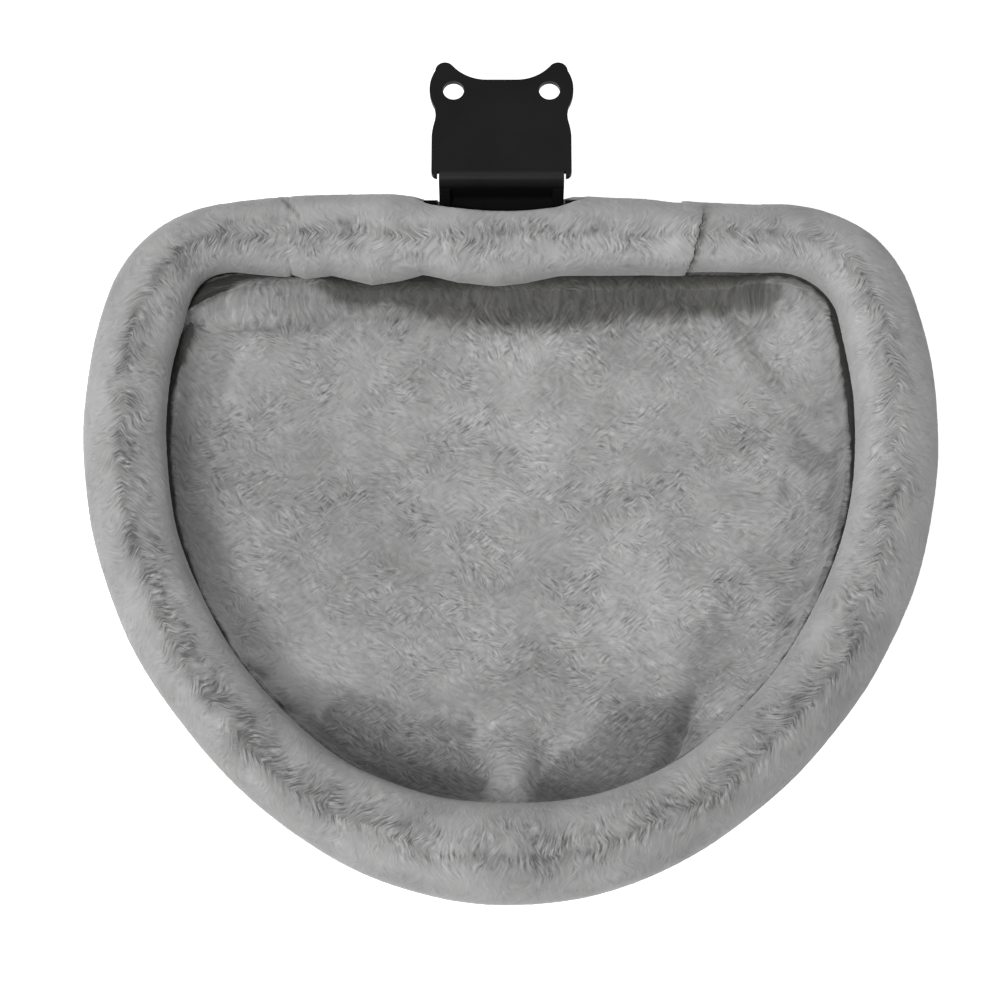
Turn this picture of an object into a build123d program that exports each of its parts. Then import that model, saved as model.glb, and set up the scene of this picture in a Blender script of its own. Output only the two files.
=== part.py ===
from build123d import *

import math
import os

# Cat hammock that hangs in front of a desk, in millimetres.
# The origin is midway between the two ear holes, on the underside of the plate, where the desk top is.
# X runs along the desk edge, Y points in over the desk, Z is up.

# Bracket, pressed from one steel plate with the outline of a cat's head
plate_thickness = 3.0
plate_width = 69.5
ear_width = 72.0
waist_width = 65.8
hole_spacing = 48.0
hole_diameter = 10.5
ear_height = 16.0
ear_tip_spacing = 56.8
ear_tip_radius = 4.8
crown_height = 6.1
crown_width = 15.0
brow_angle = 52.0
waist_reach = 13.0
waist_ease = 0.6
shoulder_reach = 26.0
neck_curve_share = 0.7
plate_reach = 45.5
bend_radius = 3.0
riser_width = 62.0
rail_drop = 18.0
flange_ear = 9.0
flange_overhang = 9.0
corner_radius = 3.0
bend_relief = 0.8

# Gussets in the lower bend of the bracket
gusset_thickness = 5.0
gusset_inset = 0.5
gusset_height = 11.0
gusset_reach = 5.5
gusset_tip = 1.0

# Ring of steel tube, shaped like a D with its straight side at the desk
tube_diameter = 16.0
tube_wall = 1.5
ring_offset = 4.5
desk_clearance = 0.5
back_half_length = 132.0
corner_bend = 50.0
side_bend = 235.0
corner_turn = 75.0
side_turn = 68.0
joint_margin = 47.0
spigot_length = 64.0
fit_gap = 0.3
seat_gap = 0.2

# Fasteners
rail_screw_diameter = 5.0
rail_screw_spacing = 48.0
rail_screw_head_diameter = 9.5
rail_screw_head_height = 2.75
rail_screw_socket = 3.0
rail_nut_across_flats = 8.0
rail_nut_height = 4.0
rail_screw_spare = 1.0
head_rim_share = 0.25
head_shoulder_share = 0.8
head_crown_share = 0.5
socket_depth_share = 0.6
joint_screw_diameter = 4.0
joint_screw_head_diameter = 7.2
joint_screw_head_height = 2.4
joint_screw_inset = 16.0
hole_clearance = 0.3

# Foam round the tube, thicker along the front where the cat leans
foam_radius = 15.0
front_foam_radius = 18.5
bay_margin = 2.0
foam_screw_margin = 18.0
foam_gap = 0.3

# How the front fills out from its right end to its left, as shares
front_fullness_shares = (0.0, 0.5, 1.0, 0.5, 0.0)

# Plush sleeve round the foam, and the flap that closes it behind the bracket
plush_wall = 4.7
flap_left_margin = 21.7
flap_right_margin = 46.5
flap_lip_length = 8.0
flap_lip_wall = 1.8
slit_margin = 4.0
slit_angle = 35.0
slit_rise = 11.2
slit_fall = 5.8
slit_end_rise = 1.0
wrap_opening = 4.0
wrap_opening_offset = 11.8

# Hook and loop closure under the back rail
tape_margin = 7.9
tape_height = 18.0
tape_thickness = 1.1
tab_thickness = 2.0
tab_height = 22.0

# Bed, a pouch of plush, wadding and lining with a fold that runs up its front between two hollows
seam_drop = 16.0
seam_inset = 15.0
seam_shift = 2.7
bed_depth = 46.5
plush_thickness = 3.5
wadding_thickness = 3.0
lining_thickness = 0.8
layer_gap = 0.3
fold_height = 15.0
fold_reach = 28.0
fold_flank_share = 0.5
hollow_depth = 6.0
hollow_reach = 72.0
binding_height = 12.0
binding_thickness = 2.0
binding_drop = 2.3

# Shape of the pouch from its seam down to its floor, as shares
bed_depth_shares = (0.0, 0.34, 0.65, 0.86, 0.97, 1.0)
bed_size_shares = (1.0, 0.97, 0.88, 0.70, 0.42, 0.16)
bed_back_shares = (0.0, 0.25, 0.30, 0.39, 0.44, 0.45)
bed_fold_shares = (0.20, 0.75, 1.0, 0.95, 0.60, 0.10)
bed_hollow_shares = (0.0, 0.4, 1.0, 1.0, 0.5, 0.0)
bed_sink_shares = (0.0, 0.5, 0.8, 0.95, 1.0, 1.0)

# Worked out from the sizes above
tube_radius = tube_diameter / 2
tube_bore_radius = tube_radius - tube_wall
rail_z = -rail_drop - tube_radius
sleeve_bore_radius = foam_radius + foam_gap
sleeve_radius = sleeve_bore_radius + plush_wall
front_sleeve_bore_radius = front_foam_radius + foam_gap
front_sleeve_radius = front_sleeve_bore_radius + plush_wall
riser_back_y = -plate_reach - bend_radius
riser_front_y = riser_back_y - plate_thickness
rail_y = riser_back_y - desk_clearance - sleeve_radius
flange_top_z = -rail_drop + plate_thickness
rail_half = back_half_length - joint_margin
rail_length = 2 * rail_half
flange_width = riser_width + 2 * flange_ear
slit_width = flange_width + 2 * slit_margin
bracket_bay = slit_width + 2 * bay_margin
foam_back_reach = rail_half + joint_screw_inset + foam_screw_margin
flap_left_reach = back_half_length - ring_offset - flap_left_margin
flap_right_reach = back_half_length + ring_offset - flap_right_margin
flap_length = flap_left_reach + flap_right_reach
flap_mid_x = (flap_right_reach - flap_left_reach) / 2
tape_length = flap_length - 2 * tape_margin
turned = corner_turn + side_turn
front_half_turn = 180 - turned
sin_corner = math.sin(math.radians(corner_turn))
sin_turned = math.sin(math.radians(turned))
front_bend = (
    back_half_length + corner_bend * sin_corner + side_bend * (sin_turned - sin_corner)
) / sin_turned

os.makedirs("parts", exist_ok=True)


def save(piece, label):
    piece.part.label = label
    export_step(piece.part, f"parts/{label}.step")


def ring_line(start_x, end_x):
    # The tube's centre line from the back right round the front to the back left
    with BuildLine(Plane((ring_offset, rail_y, rail_z))):
        first = Line((start_x, 0), (back_half_length, 0))
        right_corner = JernArc(first @ 1, first % 1, corner_bend, -corner_turn)
        right_side = JernArc(right_corner @ 1, right_corner % 1, side_bend, -side_turn)
        front = JernArc(right_side @ 1, right_side % 1, front_bend, -2 * front_half_turn)
        left_side = JernArc(front @ 1, front % 1, side_bend, -side_turn)
        left_corner = JernArc(left_side @ 1, left_side % 1, corner_bend, -corner_turn)
        last = Line(left_corner @ 1, Vector(ring_offset - end_x, rail_y, rail_z))
    return [first, right_corner, right_side, front, left_side, left_corner, last]


def across(edge, place=0):
    # The plane square to an edge at a share of its length
    return Plane(origin=edge @ place, z_dir=edge % place)


# Bracket: the flat plate with its ears
ear_x = ear_tip_spacing / 2
waist_x = waist_width / 2
half_width = plate_width / 2
crown_slope = math.radians(brow_angle)
ear_root = (
    ear_x - ear_tip_radius * math.sin(crown_slope),
    ear_height - ear_tip_radius * (1 - math.cos(crown_slope)),
)
ear_shoulder = (ear_x + ear_tip_radius, ear_height - ear_tip_radius)
cheek_low = (waist_x + waist_ease, -waist_reach * neck_curve_share)
neck_low = (waist_x + waist_ease, -shoulder_reach * neck_curve_share)

flange_mid_z = flange_top_z - plate_thickness / 2
flange_end_y = rail_y - flange_overhang
riser_mid_y = riser_back_y - plate_thickness / 2
mid_bend = bend_radius + plate_thickness / 2
bend_end_y = riser_mid_y - mid_bend - bend_relief

with BuildPart() as mounting_plate:
    with BuildSketch():
        with BuildLine():
            crown = Line((0, crown_height), (crown_width / 2, crown_height))
            brow = TangentArc(crown @ 1, ear_root, tangent=crown % 1)
            tip = TangentArc(brow @ 1, ear_shoulder, tangent=brow % 1)
            cheek = ThreePointArc(tip @ 1, (ear_width / 2, waist_ease), cheek_low)
            neck = ThreePointArc(cheek @ 1, (waist_x, -waist_reach), neck_low)
            jaw = TangentArc(neck @ 1, (half_width, -shoulder_reach), tangent=neck % 1)
            side = Line(jaw @ 1, (half_width, riser_back_y))
            Line(side @ 1, (0, riser_back_y))
            mirror(about=Plane.YZ)
        make_face()
        with GridLocations(hole_spacing, 0, 2, 1):
            Circle(hole_diameter / 2, mode=Mode.SUBTRACT)
    extrude(amount=plate_thickness)
    fillet(mounting_plate.edges().filter_by(Axis.Z).group_by(Axis.Y)[0], radius=corner_radius)
    with BuildSketch():
        with Locations((0, riser_back_y)):
            Rectangle(riser_width + 2 * bend_relief, 2 * bend_radius)
    extrude(amount=plate_thickness, mode=Mode.SUBTRACT)
    with BuildLine(Plane.YZ) as bend_line:
        upper_bend = JernArc((-plate_reach, plate_thickness / 2), (-1, 0), mid_bend, 90)
        riser = Line(upper_bend @ 1, (riser_mid_y, flange_mid_z + mid_bend))
        lower_bend = JernArc(riser @ 1, riser % 1, mid_bend, -90)
        Line(lower_bend @ 1, (bend_end_y, flange_mid_z))
    with BuildSketch(Plane.XZ.offset(plate_reach)):
        with Locations((0, plate_thickness / 2)):
            Rectangle(riser_width, plate_thickness)
    sweep(path=bend_line.wires()[0])
    flange_side_y = riser_front_y - bend_relief
    with BuildSketch(Plane.XY.offset(flange_top_z)):
        with BuildLine():
            Polyline(
                (-flange_width / 2, flange_side_y),
                (-flange_width / 2, flange_end_y),
                (flange_width / 2, flange_end_y),
                (flange_width / 2, flange_side_y),
                (riser_width / 2 + bend_relief, flange_side_y),
                (riser_width / 2 + bend_relief, bend_end_y),
                (-riser_width / 2 - bend_relief, bend_end_y),
                (-riser_width / 2 - bend_relief, flange_side_y),
                close=True,
            )
        make_face()
        flange_columns = vertices().group_by(Axis.X)
        fillet(flange_columns[0] + flange_columns[-1], radius=corner_radius)
        with Locations((0, rail_y)):
            with GridLocations(rail_screw_spacing, 0, 2, 1):
                Circle(rail_screw_diameter / 2 + hole_clearance / 2, mode=Mode.SUBTRACT)
    extrude(amount=-plate_thickness)
save(mounting_plate, "mounting_plate")

# Gussets: a triangle at each end of the riser, on the flange
for side_name, sign in (("left", -1), ("right", 1)):
    gusset_x = sign * (riser_width / 2 - gusset_inset - gusset_thickness / 2)
    with BuildPart() as gusset:
        with BuildSketch(Plane.YZ.offset(gusset_x)):
            with BuildLine():
                Polyline(
                    (riser_front_y, flange_top_z + bend_radius),
                    (riser_front_y, flange_top_z + gusset_height),
                    (riser_front_y - gusset_tip, flange_top_z + gusset_height),
                    (riser_front_y - gusset_reach, flange_top_z + gusset_tip),
                    (riser_front_y - gusset_reach, flange_top_z),
                    (riser_front_y - bend_radius, flange_top_z),
                )
                RadiusArc(
                    (riser_front_y - bend_radius, flange_top_z),
                    (riser_front_y, flange_top_z + bend_radius),
                    bend_radius,
                )
            make_face()
        extrude(amount=gusset_thickness / 2, both=True)
    save(gusset, f"gusset_{side_name}")

# Back rail: the straight tube that carries the bracket
rail_left = ring_offset - rail_half
spigot_places = (ring_offset - rail_half, ring_offset + rail_half)
joint_screw_places = [x + sign * joint_screw_inset for x in spigot_places for sign in (-1, 1)]
rail_screw_places = (-rail_screw_spacing / 2, rail_screw_spacing / 2)

with BuildPart() as back_rail:
    with BuildSketch(Plane.YZ.offset(rail_left)):
        with Locations((rail_y, rail_z)):
            Circle(tube_radius)
            Circle(tube_bore_radius, mode=Mode.SUBTRACT)
    extrude(amount=rail_length)
    with Locations([(x, rail_y, rail_z) for x in rail_screw_places]):
        Cylinder(rail_screw_diameter / 2 + hole_clearance / 2, 2 * tube_diameter, mode=Mode.SUBTRACT)
    inner_screws = [x for x in joint_screw_places if abs(x - ring_offset) < rail_half]
    with Locations([(x, rail_y, rail_z - tube_radius) for x in inner_screws]):
        Cylinder(joint_screw_diameter / 2 + hole_clearance / 2, tube_diameter, mode=Mode.SUBTRACT)
save(back_rail, "back_rail")

# Front hoop: the bent tube
hoop_edges = ring_line(rail_half, rail_half)
with BuildPart() as front_hoop:
    with BuildSketch(across(hoop_edges[0])):
        Circle(tube_radius)
        Circle(tube_bore_radius, mode=Mode.SUBTRACT)
    sweep(path=Wire(hoop_edges))
    outer_screws = [x for x in joint_screw_places if abs(x - ring_offset) > rail_half]
    with Locations([(x, rail_y, rail_z - tube_radius) for x in outer_screws]):
        Cylinder(joint_screw_diameter / 2 + hole_clearance / 2, tube_diameter, mode=Mode.SUBTRACT)
save(front_hoop, "front_hoop")

# Spigots: short tubes inside each joint of the ring
spigot_radius = tube_bore_radius - fit_gap
for side_name, joint_x in zip(("left", "right"), spigot_places):
    with BuildPart() as spigot:
        with BuildSketch(Plane.YZ.offset(joint_x - spigot_length / 2)):
            with Locations((rail_y, rail_z)):
                Circle(spigot_radius)
                Circle(spigot_radius - tube_wall, mode=Mode.SUBTRACT)
        extrude(amount=spigot_length)
        with Locations([(joint_x + sign * joint_screw_inset, rail_y, rail_z - tube_radius) for sign in (-1, 1)]):
            Cylinder(joint_screw_diameter / 2 + hole_clearance / 2, tube_diameter, mode=Mode.SUBTRACT)
    save(spigot, f"joint_spigot_{side_name}")

# Joint screws: four, driven up into the underside of the tube
joint_screw_seat_z = rail_z - tube_radius
joint_screw_tip_z = rail_z - spigot_radius + 2 * tube_wall
with BuildPart() as joint_screws:
    with Locations([(x, rail_y, joint_screw_seat_z) for x in joint_screw_places]):
        Cylinder(
            joint_screw_diameter / 2,
            joint_screw_tip_z - joint_screw_seat_z,
            align=(Align.CENTER, Align.CENTER, Align.MIN),
        )
        Cylinder(
            joint_screw_head_diameter / 2,
            joint_screw_head_height,
            align=(Align.CENTER, Align.CENTER, Align.MAX),
        )
save(joint_screws, "joint_screws")

# Screws and nuts that hold the flange to the back rail
nut_top_z = rail_z - tube_radius - seat_gap
rail_screw_end_z = nut_top_z - rail_nut_height - rail_screw_spare
head_radius = rail_screw_head_diameter / 2
head_top_z = flange_top_z + rail_screw_head_height
head_rim_z = flange_top_z + rail_screw_head_height * head_rim_share
shoulder_z = flange_top_z + rail_screw_head_height * head_shoulder_share
shoulder_radius = head_radius * head_shoulder_share
crown_radius = head_radius * head_crown_share
with BuildPart() as rail_screws:
    for x in rail_screw_places:
        with BuildSketch(Plane.XZ.offset(-rail_y)):
            with BuildLine():
                Polyline(
                    (x, rail_screw_end_z),
                    (x + rail_screw_diameter / 2, rail_screw_end_z),
                    (x + rail_screw_diameter / 2, flange_top_z),
                    (x + head_radius, flange_top_z),
                    (x + head_radius, head_rim_z),
                )
                ThreePointArc(
                    (x + head_radius, head_rim_z),
                    (x + shoulder_radius, shoulder_z),
                    (x + crown_radius, head_top_z),
                )
                Polyline((x + crown_radius, head_top_z), (x, head_top_z), (x, rail_screw_end_z))
            make_face()
        revolve(axis=Axis((x, rail_y, 0), (0, 0, 1)))
    with BuildSketch(Plane.XY.offset(head_top_z)):
        with Locations([(x, rail_y) for x in rail_screw_places]):
            RegularPolygon(rail_screw_socket / 2, 6, major_radius=False)
    extrude(amount=-rail_screw_head_height * socket_depth_share, mode=Mode.SUBTRACT)
save(rail_screws, "rail_screws")

with BuildPart() as rail_nuts:
    with BuildSketch(Plane.XY.offset(nut_top_z)):
        with Locations([(x, rail_y) for x in rail_screw_places]):
            RegularPolygon(rail_nut_across_flats / 2, 6, major_radius=False)
            Circle(rail_screw_diameter / 2 + hole_clearance / 4, mode=Mode.SUBTRACT)
    extrude(amount=-rail_nut_height)
save(rail_nuts, "rail_nuts")

# Foam: two short lengths on the back rail's joints and three round the hoop
for side_name, sign in (("left", -1), ("right", 1)):
    near_x = sign * bracket_bay / 2
    far_x = ring_offset + sign * foam_back_reach
    with BuildPart() as foam_back:
        with BuildSketch(Plane.YZ.offset(min(near_x, far_x))):
            with Locations((rail_y, rail_z)):
                Circle(foam_radius)
                Circle(tube_radius + foam_gap, mode=Mode.SUBTRACT)
        extrude(amount=abs(far_x - near_x))
        pockets = [x for x in joint_screw_places if sign * (x - near_x) > 0]
        with Locations([(x, rail_y, rail_z - tube_radius) for x in pockets]):
            Cylinder(
                joint_screw_head_diameter / 2 + foam_gap,
                2 * (joint_screw_head_height + foam_gap),
                mode=Mode.SUBTRACT,
            )
    save(foam_back, f"foam_back_{side_name}")

foam_edges = ring_line(foam_back_reach + foam_gap, foam_back_reach + foam_gap)
for side_name, run in (("right", foam_edges[0:3]), ("left", foam_edges[4:7])):
    with BuildPart() as foam_side:
        with BuildSketch(across(run[0])):
            Circle(foam_radius)
            Circle(tube_radius + foam_gap, mode=Mode.SUBTRACT)
        sweep(path=Wire(run))
    save(foam_side, f"foam_{side_name}")


def front_roll(radius, front_radius):
    # A roll round the front of the ring, fullest in the middle
    last_step = len(front_fullness_shares) - 1
    with BuildPart() as roll:
        for step, share in enumerate(front_fullness_shares):
            with BuildSketch(across(foam_edges[3], step / last_step)):
                Circle(radius + (front_radius - radius) * share)
        sweep(path=foam_edges[3], multisection=True)
    return roll.part


foam_front_roll = front_roll(foam_radius, front_foam_radius)
with BuildPart() as foam_front:
    add(foam_front_roll)
    with BuildSketch(across(foam_edges[3])):
        Circle(tube_radius + foam_gap)
    sweep(path=foam_edges[3], mode=Mode.SUBTRACT)
save(foam_front, "foam_front")

# Plush sleeve round the hoop
sleeve_edges = ring_line(flap_right_reach - ring_offset, flap_left_reach + ring_offset)
sleeve_front = front_roll(sleeve_radius, front_sleeve_radius)
sleeve_bore_front = front_roll(sleeve_bore_radius, front_sleeve_bore_radius)
with BuildPart() as rim_sleeve:
    add(sleeve_front)
    add(sleeve_bore_front, mode=Mode.SUBTRACT)
    for run in (sleeve_edges[0:3], sleeve_edges[4:7]):
        with BuildSketch(across(run[0])):
            Circle(sleeve_radius)
            Circle(sleeve_bore_radius, mode=Mode.SUBTRACT)
        sweep(path=Wire(run))
save(rim_sleeve, "rim_sleeve")

# Back flap: wraps the back rail, with a slit for the bracket, a lip over the sleeve and a tab below
lip_radius = sleeve_radius + layer_gap + flap_lip_wall
lower_half = (4 * sleeve_radius, 2 * sleeve_radius)
tab_y = rail_y - seam_inset + seam_shift + binding_thickness + 2 * tape_thickness + 3 * seat_gap
with BuildPart() as back_flap:
    with BuildSketch(Plane.YZ.offset(-flap_left_reach)):
        with Locations((rail_y, rail_z)):
            Circle(sleeve_radius)
            Circle(sleeve_bore_radius, mode=Mode.SUBTRACT)
            with Locations((-wrap_opening_offset, -sleeve_radius)):
                Rectangle(wrap_opening, sleeve_radius, mode=Mode.SUBTRACT)
    extrude(amount=flap_length)
    with BuildSketch(Plane.YZ.offset(flap_right_reach)):
        with Locations((rail_y, rail_z)):
            Circle(lip_radius)
            Circle(sleeve_radius + layer_gap, mode=Mode.SUBTRACT)
            Rectangle(*lower_half, align=(Align.CENTER, Align.MAX), mode=Mode.SUBTRACT)
    extrude(amount=flap_lip_length)
    with BuildSketch(Plane.YZ.offset(flap_right_reach)):
        with Locations((rail_y, rail_z)):
            Circle(lip_radius)
            Circle(sleeve_radius - flap_lip_wall, mode=Mode.SUBTRACT)
            Rectangle(*lower_half, align=(Align.CENTER, Align.MAX), mode=Mode.SUBTRACT)
    extrude(amount=-flap_lip_length)
    slit_plane = Plane(
        origin=(0, rail_y, rail_z),
        x_dir=(1, 0, 0),
        z_dir=(0, math.cos(math.radians(slit_angle)), math.sin(math.radians(slit_angle))),
    )
    with BuildSketch(slit_plane):
        with BuildLine():
            Polyline(
                (slit_width / 2, -slit_end_rise),
                (slit_width / 2, slit_fall),
                (-slit_width / 2, slit_fall),
                (-slit_width / 2, -slit_end_rise),
            )
            ThreePointArc(
                (-slit_width / 2, -slit_end_rise),
                (0, -slit_rise),
                (slit_width / 2, -slit_end_rise),
            )
        make_face()
    extrude(amount=2 * sleeve_radius, mode=Mode.SUBTRACT)
    with Locations((flap_mid_x, tab_y, rail_z - sleeve_radius + plush_wall / 2)):
        Box(
            tape_length,
            tab_thickness,
            tab_height,
            align=(Align.CENTER, Align.MIN, Align.MAX),
        )
save(back_flap, "back_flap")

# Hook tape on the tab and loop tape on the binding
tape_z = rail_z - sleeve_radius - seat_gap
for label, far_y in (("hook_tape", tab_y), ("loop_tape", tab_y - tape_thickness)):
    with BuildPart() as tape:
        with Locations((flap_mid_x, far_y, tape_z)):
            Box(
                tape_length,
                tape_thickness,
                tape_height,
                align=(Align.CENTER, Align.MAX, Align.MAX),
            )
    save(tape, label)


def ring_depth(corner, side, front):
    # From the straight back to the middle of the front of a D with these three radii
    cos_corner = math.cos(math.radians(corner_turn))
    cos_turned = math.cos(math.radians(turned))
    return corner * (1 - cos_corner) + side * (cos_corner - cos_turned) + front * (1 + cos_turned)


def bed_section(inset, size, fold, hollow, back_y, level):
    # The D of the ring, drawn in by the inset and scaled, with a fold at its front and a hollow on each side of it
    corner = (corner_bend - inset) * size
    side = (side_bend - inset) * size
    front = (front_bend - inset) * size
    reach = fold_reach * size
    height = fold_height * fold * size
    sink = hollow_depth * hollow * size
    depth = ring_depth(corner, side, front)
    wide_turn = math.degrees(math.asin(hollow_reach * size / front))
    low_turn = math.asin(reach / front)
    low = (reach, -depth + front * (1 - math.cos(low_turn)) - sink)
    along = (math.cos(low_turn), math.sin(low_turn))
    flank = (reach * fold_flank_share, (low[1] + height - depth) / 2)
    with BuildSketch(Plane((ring_offset, back_y, level))) as section:
        with BuildLine():
            back = Line((0, 0), (back_half_length * size, 0))
            right_corner = JernArc(back @ 1, back % 1, corner, -corner_turn)
            right_side = JernArc(right_corner @ 1, right_corner % 1, side, -side_turn)
            main = JernArc(right_side @ 1, right_side % 1, front, wide_turn - front_half_turn)
            ridge = TangentArc((0, -depth + height), flank, tangent=(1, 0))
            TangentArc(flank, low, tangent=ridge % 1)
            Spline(low, main @ 1, tangents=(along, (main % 1) * -1))
            mirror(about=Plane.YZ)
        make_face()
    return section.sketch


full_depth = ring_depth(corner_bend, side_bend, front_bend)
wall_total = plush_thickness + wadding_thickness + lining_thickness + 2 * layer_gap
seam_z = rail_z - seam_drop
shares = list(
    zip(bed_depth_shares, bed_size_shares, bed_back_shares, bed_fold_shares, bed_hollow_shares, bed_sink_shares)
)


def bed_pouch(outward):
    # The pouch from the seam to its floor, with its surface moved outward from the top of the plush
    inset = seam_inset + wall_total - outward
    sections = []
    for drop_share, size_share, back_share, fold_share, hollow_share, sink_share in shares:
        level = seam_z - bed_depth * drop_share - outward * sink_share
        drawn_in = full_depth * (1 - size_share)
        back_y = rail_y + seam_shift - inset - drawn_in * back_share
        sections.append(bed_section(inset, size_share, fold_share, hollow_share, back_y, level))
    with BuildPart() as pouch:
        loft(sections=sections)
    return pouch.part


layer_start = 0.0
for label, thickness in (
    ("bed_top", plush_thickness),
    ("bed_wadding", wadding_thickness),
    ("bed_lining", lining_thickness),
):
    outside = bed_pouch(layer_start + thickness)
    inside = bed_pouch(layer_start)
    with BuildPart() as bed_layer:
        add(outside)
        add(inside, mode=Mode.SUBTRACT)
    save(bed_layer, label)
    layer_start = layer_start + thickness + layer_gap

# Binding tape over the raw edges of the seam
binding_inset = seam_inset - seat_gap
binding_top = seam_z - binding_drop
top_size_share = bed_size_shares[0]
top_fold_share = bed_fold_shares[0]
top_hollow_share = bed_hollow_shares[0]
with BuildPart() as seam_binding:
    for inset, mode in ((binding_inset - binding_thickness, Mode.ADD), (binding_inset, Mode.SUBTRACT)):
        back_y = rail_y + seam_shift - inset
        outline = bed_section(inset, top_size_share, top_fold_share, top_hollow_share, back_y, binding_top)
        extrude(outline, amount=-binding_height, mode=mode)
save(seam_binding, "seam_binding")
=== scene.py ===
import math

import bpy
import numpy as np
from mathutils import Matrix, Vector


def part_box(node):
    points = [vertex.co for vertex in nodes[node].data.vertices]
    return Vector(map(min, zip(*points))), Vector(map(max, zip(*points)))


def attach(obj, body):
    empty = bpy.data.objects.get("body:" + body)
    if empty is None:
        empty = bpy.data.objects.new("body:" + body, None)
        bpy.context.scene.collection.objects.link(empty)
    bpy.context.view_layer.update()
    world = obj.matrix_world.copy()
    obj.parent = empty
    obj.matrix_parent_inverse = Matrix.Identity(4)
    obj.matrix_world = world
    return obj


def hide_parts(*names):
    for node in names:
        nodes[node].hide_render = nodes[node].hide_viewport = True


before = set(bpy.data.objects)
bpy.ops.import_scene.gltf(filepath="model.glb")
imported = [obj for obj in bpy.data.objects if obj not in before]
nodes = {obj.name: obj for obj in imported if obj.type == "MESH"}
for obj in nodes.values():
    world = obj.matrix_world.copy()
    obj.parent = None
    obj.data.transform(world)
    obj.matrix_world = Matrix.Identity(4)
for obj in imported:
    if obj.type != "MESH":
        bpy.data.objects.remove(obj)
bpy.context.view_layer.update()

print("frame loaded:", len(nodes), "nodes")


# Geometry helpers

def gradientNoise(u, v, seed):
    # Smooth relief from about -1 to 1, one feature to each unit
    turn = np.random.default_rng(seed).uniform(0, 2 * math.pi, (256, 256))
    left = np.floor(u).astype(int)
    low = np.floor(v).astype(int)
    du = u - left
    dv = v - low

    def corner(i, j):
        angle = turn[(left + i) % 256, (low + j) % 256]
        return np.cos(angle) * (du - i) + np.sin(angle) * (dv - j)

    eu = du * du * du * (du * (6 * du - 15) + 10)
    ev = dv * dv * dv * (dv * (6 * dv - 15) + 10)
    near = corner(0, 0) + eu * (corner(1, 0) - corner(0, 0))
    far = corner(0, 1) + eu * (corner(1, 1) - corner(0, 1))
    return 1.5 * (near + ev * (far - near))


def drift(value, size, seed):
    # The same along one direction, one feature to each size
    return gradientNoise(value / size, value * 0, seed)


def layered(x, y, waves):
    # Relief of a few sizes: height, size in x and y, seed
    return sum(height * gradientNoise(x / sizeX, y / sizeY, seed) for height, sizeX, sizeY, seed in waves)


def smoothStep(low, high, value):
    share = np.clip((value - low) / (high - low), 0, 1)
    return share * share * (3 - 2 * share)


def bump(value, middle, width):
    return np.exp(-((value - middle) / width) ** 2)


def shaped(fields, table):
    # Entries of a table: a height, a bump (field, middle, width) or None, soft limits (field, start, whole)
    made = {}
    for label, (height, profile, limits) in table.items():
        made[label] = height if profile is None else height * bump(fields[profile[0]], *profile[1:])
        for field, start, end in limits:
            made[label] = made[label] * smoothStep(start, end, fields[field])
    return made


def rounded(nearness):
    # How far an edge is rounded away: 1 at it, 0 one radius on
    return 1 - np.sqrt(np.clip(1 - (1 - np.clip(nearness, 0, 1)) ** 2, 0, 1))


def gridQuads(rows, columns, closeRows=False, closeColumns=False):
    # Faces of a grid of points that is stored row by row
    i = np.arange(rows if closeRows else rows - 1)
    j = np.arange(columns if closeColumns else columns - 1)
    a, b = np.meshgrid(i, j, indexing="ij")
    here, after, aside = a * columns, (a + 1) % rows * columns, (b + 1) % columns
    return np.stack([here + b, after + b, after + aside, here + aside], axis=-1).reshape(-1, 4)


def makePiece(name, points, faceSets, nap=None, values=None):
    # A mesh with the lie of its pile as a UV map and values on its points
    corners = np.concatenate([f.ravel() for f in faceSets])
    mesh = bpy.data.meshes.new(name)
    faces = [face for f in faceSets for face in f.tolist()]
    mesh.from_pydata(np.reshape(points, (-1, 3)).tolist(), [], faces)
    if nap is not None:
        layer = mesh.uv_layers.new(name="nap")
        layer.data.foreach_set("uv", np.float32(nap).reshape(-1, 2)[corners].ravel())
    for label, numbers in (values or {}).items():
        field = mesh.attributes.new(label, "FLOAT", "POINT")
        field.data.foreach_set("value", np.float32(numbers).ravel())
    mesh.polygons.foreach_set("use_smooth", np.ones(len(mesh.polygons), dtype=bool))
    mesh.validate()
    piece = bpy.data.objects.new(name, mesh)
    bpy.context.scene.collection.objects.link(piece)
    return piece


def dress(piece, material, slotName, *replaced):
    piece.data.materials.append(material)
    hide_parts(*replaced)
    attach(piece, "root")


# Materials: sums of signals add the Math nodes

class Signal:
    def __init__(self, finish, socket):
        self.finish, self.socket = finish, socket

    def calc(self, operation, first, second):
        return self.finish.node("ShaderNodeMath", {"operation": operation}, {0: first, 1: second})

    def __add__(self, other):
        return self.calc("ADD", self, other)

    __radd__ = __add__

    def __sub__(self, other):
        return self.calc("SUBTRACT", self, other)

    def __rsub__(self, other):
        return self.calc("SUBTRACT", other, self)

    def __mul__(self, other):
        return self.calc("MULTIPLY", self, other)

    __rmul__ = __mul__


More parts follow.
